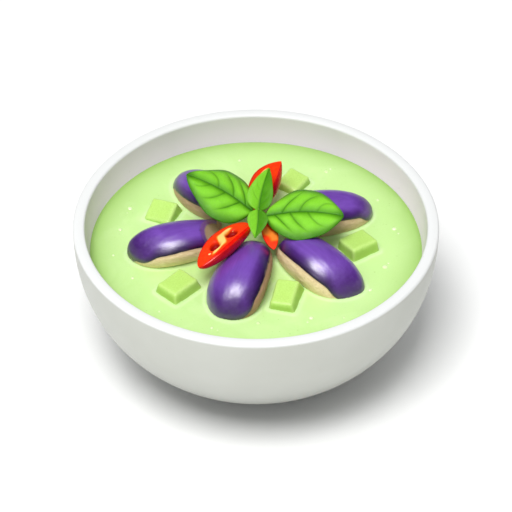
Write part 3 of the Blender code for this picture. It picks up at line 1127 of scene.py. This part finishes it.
# %% [markdown]
# ### Stem and leaf stalks
# Basil stems are square with rounded corners and swell where leaves spring from them. The stem is a short
# cylinder, subdivided along its length, pressed square and swollen at the top. Each leaf then needs its own
# stalk from there to its base: a short curve with round thickness that becomes a mesh.

# %% The stem's finish
stalk_green = Finish("basil_stalk", Specular_IOR_Level=0.4)
stalk_place = stalk_green.place()
ribs = stalk_green.cloud(stalk_green.stretched(stalk_place, (2200, 2200, 260)), 1, 3)
stalk_tint = stalk_green.mix(ribs.held(0.3, 0.7), paint(96, 150, 40), paint(140, 190, 76))
stalk_green.set("Base Color", stalk_tint)
stalk_green.set("Roughness", 0.42 + ribs * 0.15)
stalk_green.relief(ribs, 0.1 * MM)

# %% The stem
STEM_LOW, STEM_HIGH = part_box("basil_stem")
stem_middle = (STEM_LOW + STEM_HIGH) / 2
stem_tall = STEM_HIGH.z - STEM_LOW.z
bpy.ops.object.select_all(action="DESELECT")
bpy.ops.mesh.primitive_cylinder_add(
    vertices=32, radius=1.2 * MM, depth=stem_tall, location=stem_middle, end_fill_type="TRIFAN"
)
stem = call_it("basil_stem_stalk")
bpy.ops.object.mode_set(mode="EDIT")
bpy.ops.mesh.select_all(action="SELECT")
for step in range(1, 12):
    bpy.ops.mesh.bisect(plane_co=(0, 0, STEM_LOW.z + stem_tall * step / 12), plane_no=(0, 0, 1))
    bpy.ops.mesh.select_all(action="SELECT")
bpy.ops.object.mode_set(mode="OBJECT")


def squared(at):
    """Presses a round stem square, and swells it where the leaves spring from it."""
    x, y = at.x - stem_middle.x, at.y - stem_middle.y
    turn = math.atan2(y, x)
    high = (at.z - STEM_LOW.z) / stem_tall
    swell = 1 - 0.16 * high + 0.22 * bump_between(high, 0.75, 1.0)
    share = swell * (1 + 0.1 * math.cos(4 * turn))
    return Vector((stem_middle.x + x * share, stem_middle.y + y * share, at.z))


press(stem, squared)
smooth_out(stem, 1)
bpy.ops.object.shade_smooth()
stem.data.materials.append(stalk_green.material)
serve(stem, "basil", "basil_stem")


# %% The leaf stalks
def leaf_stalk(node):
    """A short stalk that bends from the top of the stem to a leaf's base."""
    form, spot = LEAVES[node]
    base = Vector((spot[0] * MM, spot[1] * MM, LEVEL + spot[2] * MM))
    turn = Matrix.Rotation(math.radians(spot[3]), 3, "Z") @ Matrix.Rotation(math.radians(-spot[4]), 3, "Y")
    heading = turn @ Vector((1, 0, 0))
    top = Vector((stem_middle.x, stem_middle.y, STEM_HIGH.z - 0.6 * MM))
    bpy.ops.object.select_all(action="DESELECT")
    bpy.ops.curve.primitive_bezier_curve_add()
    stalk = bpy.context.object
    stalk.data.bevel_depth = 0.62 * MM
    stalk.data.bevel_resolution = 4
    stalk.data.resolution_u = 14
    stalk.data.use_fill_caps = True
    first, last = stalk.data.splines[0].bezier_points
    for point in (first, last):
        point.handle_left_type = point.handle_right_type = "FREE"
    tall = Vector((0, 0, max((base.z - top.z) * 0.5, 0.8 * MM)))
    first.co, first.handle_left, first.handle_right = top, top - tall, top + tall
    end = base + heading * 0.5 * MM + Vector((0, 0, -0.9 * MM))
    last.co, last.handle_left, last.handle_right = end, end - heading * 2.2 * MM, end + heading * MM
    first.radius, last.radius = 1.0, 0.6
    stalk.location = (0, 0, 0)
    bpy.ops.object.convert(target="MESH")
    return bpy.context.object


stalks = join([leaf_stalk(node) for node in LEAVES], "basil_leaf_stalks")
stalks.data.materials.append(stalk_green.material)
bpy.ops.object.shade_smooth()
serve(stalks, "basil")

# %% [markdown]
# ## The curry
# The soup is poured last, because its surface depends on what stands in it. A liquid climbs a little where
# it wets a solid, along the bowl's wall and round every piece. So the surface is pulled inward ring by
# ring, then each point is raised by how near it is to the nearest piece. The same distance is written on
# the points, and a paler line is painted there, a painted highlight on the rise round each piece.

# %% The curry's finish
curry = Finish(
    "green_coconut_curry", Specular_IOR_Level=0.45, Subsurface_Weight=0.12, Subsurface_Scale=0.004
)
curry.shader.inputs["Subsurface Radius"].default_value = (0.7, 1.0, 0.35)
curry_place = curry.place()
across, deep, _ = curry.parts(curry_place)
from_middle = (across * across + deep * deep) ** 0.5 / MM
near = curry.mark("near")
cream = curry.cloud(curry_place, 26, 5, 0.55, 1.6)
drift = curry.cloud(curry_place, 11, 2, 0.5, 0.8)
fine = curry.cloud(curry_place, 900, 3)
fleck_field = curry.cloud(curry_place, 55, 2).held(0.5, 0.72)
flecks = (1 - curry.cells(curry_place, 330).held(0.07, 0.16)) * fleck_field
wall_shade = from_middle.held(58, 78) ** 2.1
soup = curry.mix(drift.held(0.3, 0.7), paint(198, 235, 151), paint(207, 240, 163))
soup = curry.mix(cream.held(0.52, 0.66) * 0.4, soup, paint(219, 249, 178))
soup = curry.mix(fine.held(0.3, 0.7) * 0.12, soup, paint(186, 228, 134))
soup = curry.mix(flecks * 0.35, soup, paint(132, 182, 80))
# Painted highlight: a paler line round each piece.
soup = curry.mix(near * 0.5, soup, paint(226, 251, 194))
soup = curry.mix(wall_shade * 0.9, soup, paint(142, 184, 88))
curry.set("Base Color", soup)
curry.set("Roughness", 0.24 + cream * 0.2 + flecks * 0.1)
curry.relief(cream * 0.5 + fine * 0.12 + drift * 0.6, 0.16 * MM)

# %% Pour it ring by ring
WALL_GAP = 0.03 * MM


def curry_rings():
    """(radius, height) from the floor up the wall, over the wetted edge and in to the middle."""
    under = BOWL_TOP - LEVEL
    rings = [
        (inside_at(d) - 0.35 * MM, BOWL_TOP - d + 0.35 * MM)
        for d in reversed(crowded(under + 3 * MM, 68.6 * MM, 14))
    ]
    climbs = (1.4, 0.6, 0.0, -0.35, -0.6)
    rings += [(inside_at(under + step * MM) - WALL_GAP, LEVEL - step * MM) for step in climbs]
    edge = inside_at(under - 0.6 * MM) - WALL_GAP
    for inward, height in ((0.12, 0.62), (0.35, 0.46), (0.7, 0.28), (1.2, 0.13), (1.9, 0.04), (2.8, 0.0)):
        rings.append((edge - inward * MM, LEVEL + height * MM))
    start = edge - 2.8 * MM
    count = 88
    rings += [(start - (start - 0.8 * MM) * step / count, LEVEL) for step in range(1, count + 1)]
    return rings


soup_body = pull_up("coconut_curry", curry_rings())

# %% Let it climb round what stands in it
corners, sides = [], []
for piece in floating:
    first = len(corners)
    corners += [point.co.copy() for point in piece.data.vertices]
    sides += [[first + corner for corner in face.vertices] for face in piece.data.polygons]
standing = BVHTree.FromPolygons(corners, sides)

closeness = []
for point in soup_body.data.vertices:
    at = point.co.copy()
    if at.z < LEVEL - 0.1 * MM:
        closeness.append(0.0)
        continue
    found = standing.find_nearest(Vector((at.x, at.y, LEVEL + 0.2 * MM)), 14 * MM)
    apart = found[3] / MM if found[0] is not None else 14.0
    calm = bump_between(80 - math.hypot(at.x, at.y) / MM, 3, 9)
    ripple = 0.16 * noise.noise(Vector((at.x / MM * 0.06, at.y / MM * 0.06, 3.1))) * calm
    point.co.z = at.z + (0.75 * math.exp(-apart / 0.95) + ripple) * MM
    closeness.append(math.exp(-((apart - 1.2) / 0.75) ** 2))
write(soup_body, "near", closeness)
soup_body.data.update()
soup_body.data.materials.append(curry.material)
serve(soup_body, "curry", "curry")

# %% [markdown]
# ### Beads of coconut oil
# Coconut oil parts from a hot curry as small clear beads that float as low domes. One is modelled, a ball
# pressed flat, and copied in a few sizes, mostly out towards the wall where the surface is open. Each copy
# dips a little under the surface.

# %% The bead's finish
oil = Finish("coconut_oil_bead", Specular_IOR_Level=0.6, Coat_Weight=1.0, Coat_Roughness=0.03)
oil_place = oil.place()
oil_tint = oil.cloud(oil_place, 500, 2)
oil.set("Base Color", oil.mix(oil_tint.held(0.3, 0.7), paint(222, 250, 176), paint(238, 255, 206)))
oil.set("Roughness", 0.08 + oil_tint * 0.1)


# %% Model one bead and float its copies
bpy.ops.object.select_all(action="DESELECT")
bpy.ops.mesh.primitive_uv_sphere_add(segments=24, ring_count=14, radius=MM)
one_bead = call_it("bead")
press(one_bead, lambda at: Vector((at.x, at.y, at.z * 0.42)))
BEADS = [
    (-59.8, 27.9, 1.1), (-64, 12.5, 0.9), (33.8, 55.5, 1.0), (65.1, 13, 1.1), (59.9, -14.3, 1.3),
    (52.5, -30.3, 1.0), (25.1, -49.4, 1.1), (1, -52.8, 0.9), (-20, -56, 0.7), (-57, -22, 0.8),
    (-33, 56, 0.7), (-8, 64, 0.8), (58, 34, 0.7), (-66.5, -6, 0.6), (-61, 24.6, 0.5), (61.5, -11.6, 0.5),
    (35.9, 57.6, 0.5), (23.4, -52.2, 0.5), (40, -49, 0.6), (-44, -45, 0.5), (67, 9.6, 0.5),
    (-17.4, -57.6, 0.4),
]
floated = [
    copy_of(one_bead, (x * MM, y * MM, LEVEL - 0.02 * size * MM), size) for x, y, size in BEADS
]
clear_away(one_bead)
take(floated[0])
beads = join(floated, "coconut_oil_beads")
beads.data.materials.append(oil.material)
bpy.ops.object.shade_smooth()
serve(beads, "curry")
